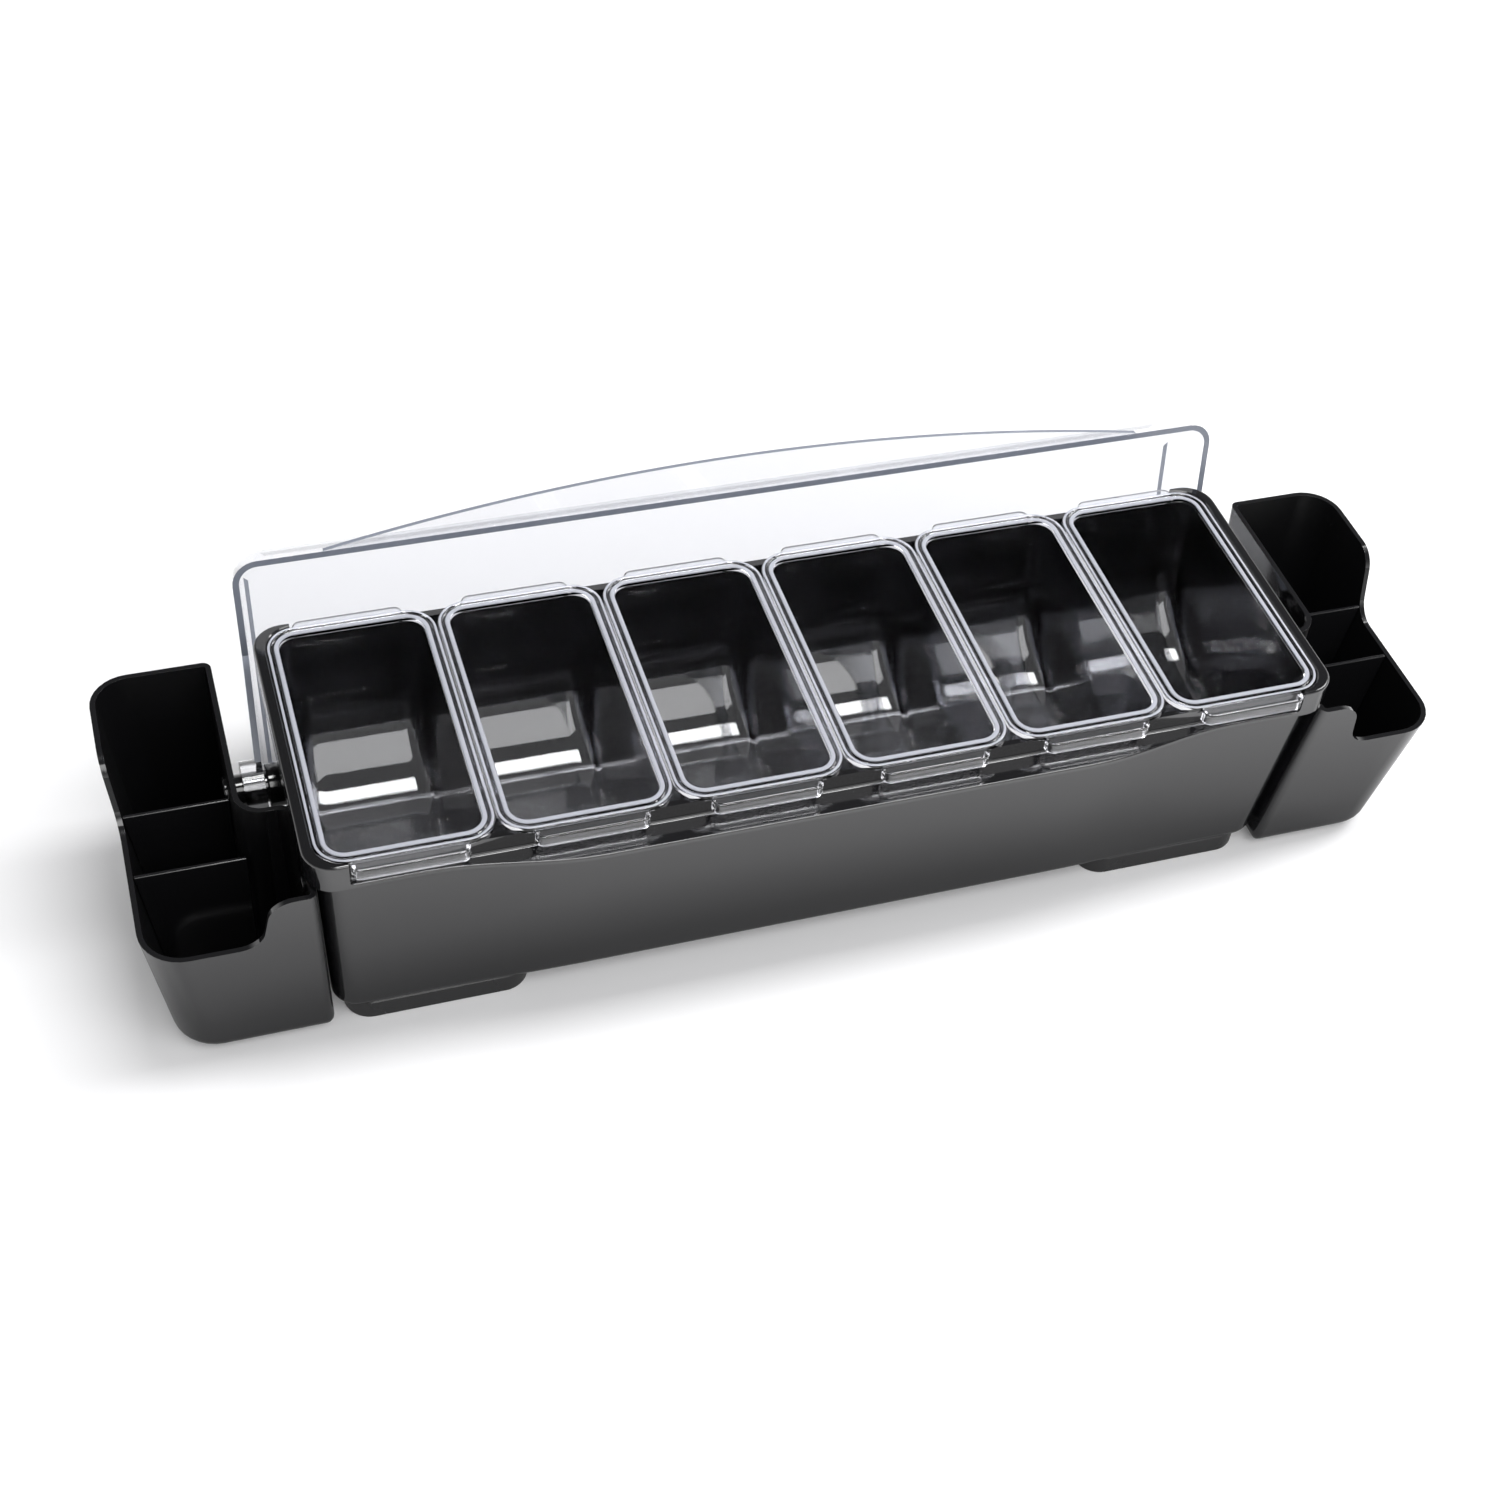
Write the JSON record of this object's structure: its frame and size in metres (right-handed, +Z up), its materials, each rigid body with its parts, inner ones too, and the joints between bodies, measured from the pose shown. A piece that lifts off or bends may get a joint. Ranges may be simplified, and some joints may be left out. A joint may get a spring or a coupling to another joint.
{
  "type": "condiment caddy",
  "caption": "Long counter-top condiment holder: a tub of clear lift-out trays under one wide hinged see-through hood, with a divided caddy hooked on each end.",
  "frame": {"origin": "bottom centre of the bounding box of the rest pose, hood open, on the counter under the feet", "axes": "+X along the row of trays towards the right caddy, +Y from the front towards the open hood, +Z up"},
  "size_m": [0.635, 0.2023, 0.1744],
  "materials": {
    "black_plastic": "gloss",
    "foot_plastic": "satin",
    "tray_plastic": "clear gloss",
    "hood_plastic": "clear gloss"
  },
  "bodies": {
    "base": {"base_tub": "black_plastic", "foot_left": "foot_plastic", "foot_right": "foot_plastic", "hinge_pin_left": "black_plastic", "hinge_pin_right": "black_plastic", "hanger_peg_left": "black_plastic", "hanger_peg_right": "black_plastic"},
    "hood": {"hood": "hood_plastic"},
    "tray_1": {"tray_1": "tray_plastic"},
    "tray_2": {"tray_2": "tray_plastic"},
    "tray_3": {"tray_3": "tray_plastic"},
    "tray_4": {"tray_4": "tray_plastic"},
    "tray_5": {"tray_5": "tray_plastic"},
    "tray_6": {"tray_6": "tray_plastic"},
    "caddy_left": {"caddy_left": "black_plastic", "divider_left_rear": "black_plastic", "divider_left_front": "black_plastic"},
    "caddy_right": {"caddy_right": "black_plastic", "divider_right_rear": "black_plastic", "divider_right_front": "black_plastic"}
  },
  "joints": [
    {"name": "hood_hinge", "type": "hinge", "parent": "base", "child": "hood", "pos_m": [0, 0.00762, 0.0778], "axis": [-1, 0, 0], "range_deg": [-100, 0]},
    {"name": "tray_1_lift", "type": "slide", "parent": "base", "child": "tray_1", "axis": [0, 0, 1], "range_m": [0, 0.11]},
    {"name": "tray_2_lift", "type": "slide", "parent": "base", "child": "tray_2", "axis": [0, 0, 1], "range_m": [0, 0.11]},
    {"name": "tray_3_lift", "type": "slide", "parent": "base", "child": "tray_3", "axis": [0, 0, 1], "range_m": [0, 0.11]},
    {"name": "tray_4_lift", "type": "slide", "parent": "base", "child": "tray_4", "axis": [0, 0, 1], "range_m": [0, 0.11]},
    {"name": "tray_5_lift", "type": "slide", "parent": "base", "child": "tray_5", "axis": [0, 0, 1], "range_m": [0, 0.11]},
    {"name": "tray_6_lift", "type": "slide", "parent": "base", "child": "tray_6", "axis": [0, 0, 1], "range_m": [0, 0.11]},
    {"name": "caddy_left_pull", "type": "slide", "parent": "base", "child": "caddy_left", "axis": [-1, 0, 0], "range_m": [0, 0.04]},
    {"name": "caddy_right_pull", "type": "slide", "parent": "base", "child": "caddy_right", "axis": [1, 0, 0], "range_m": [0, 0.04]}
  ]
}
